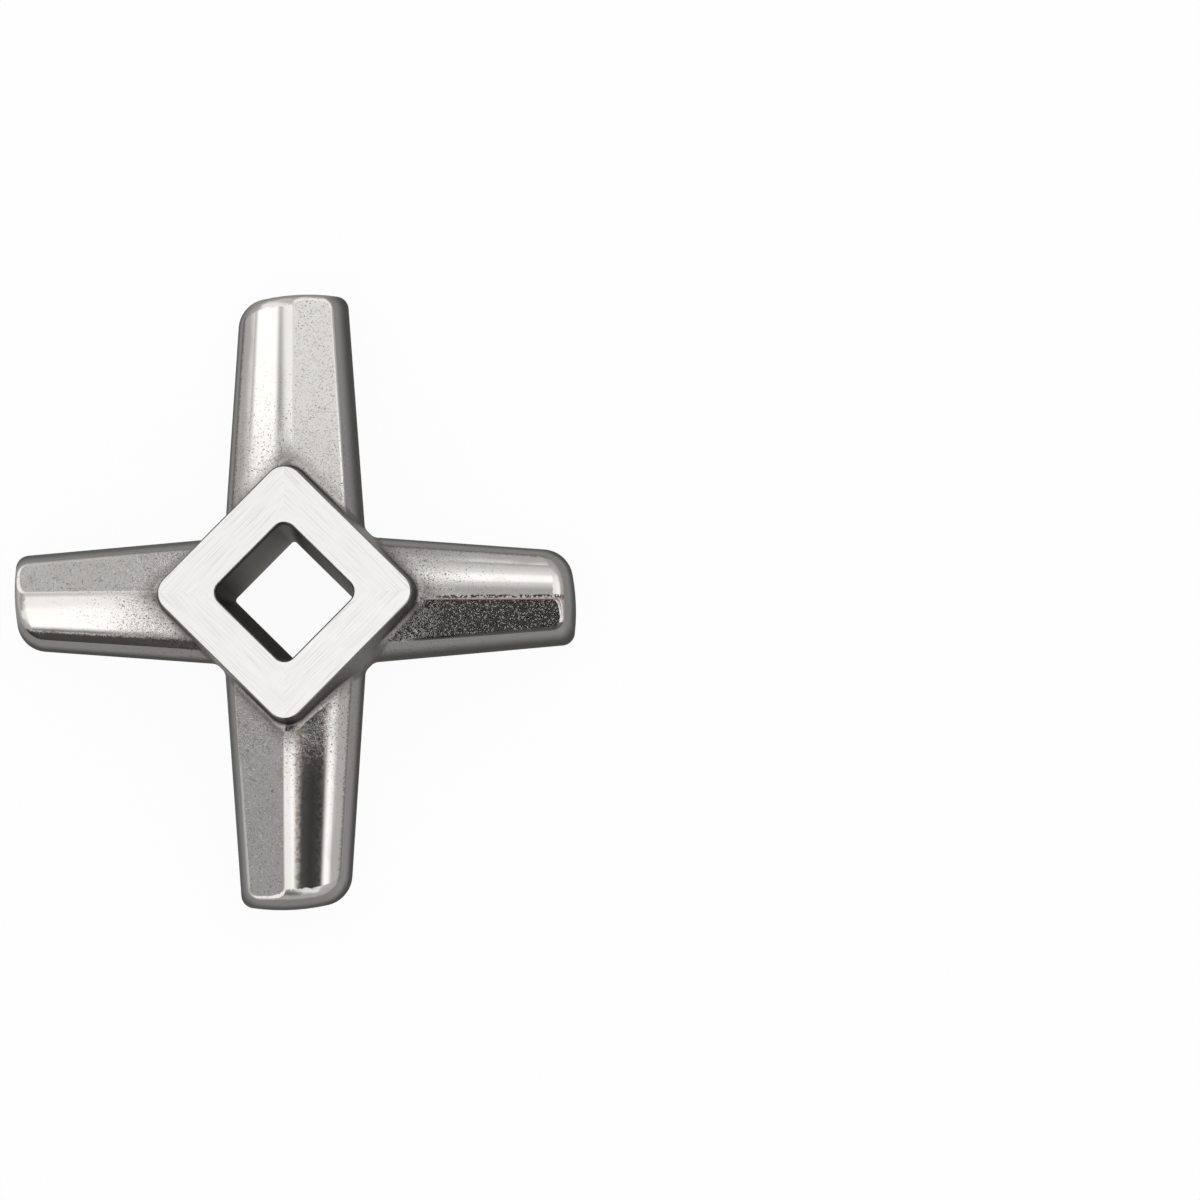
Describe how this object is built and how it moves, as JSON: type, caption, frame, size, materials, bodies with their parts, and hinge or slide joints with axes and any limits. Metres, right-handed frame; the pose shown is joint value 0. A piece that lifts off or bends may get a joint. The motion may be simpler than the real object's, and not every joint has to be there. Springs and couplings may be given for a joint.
{
  "type": "meat grinder knife",
  "caption": "Cast cross-shaped meat grinder knife with a raised square boss, a tapering square drive hole and arms with a flat facet and a rounded back.",
  "frame": {"origin": "axis of the drive hole, on the ground cutting face", "axes": "+Z along the hole's axis, from the cutting face to the boss; +X along one short arm; +Y along one long arm"},
  "size_m": [0.0546, 0.06, 0.012],
  "materials": {
    "steel": "cast and polished stainless steel, ground on the boss and the cutting face"
  },
  "bodies": {
    "root": {"grinder_knife": "steel"}
  },
  "joints": []
}
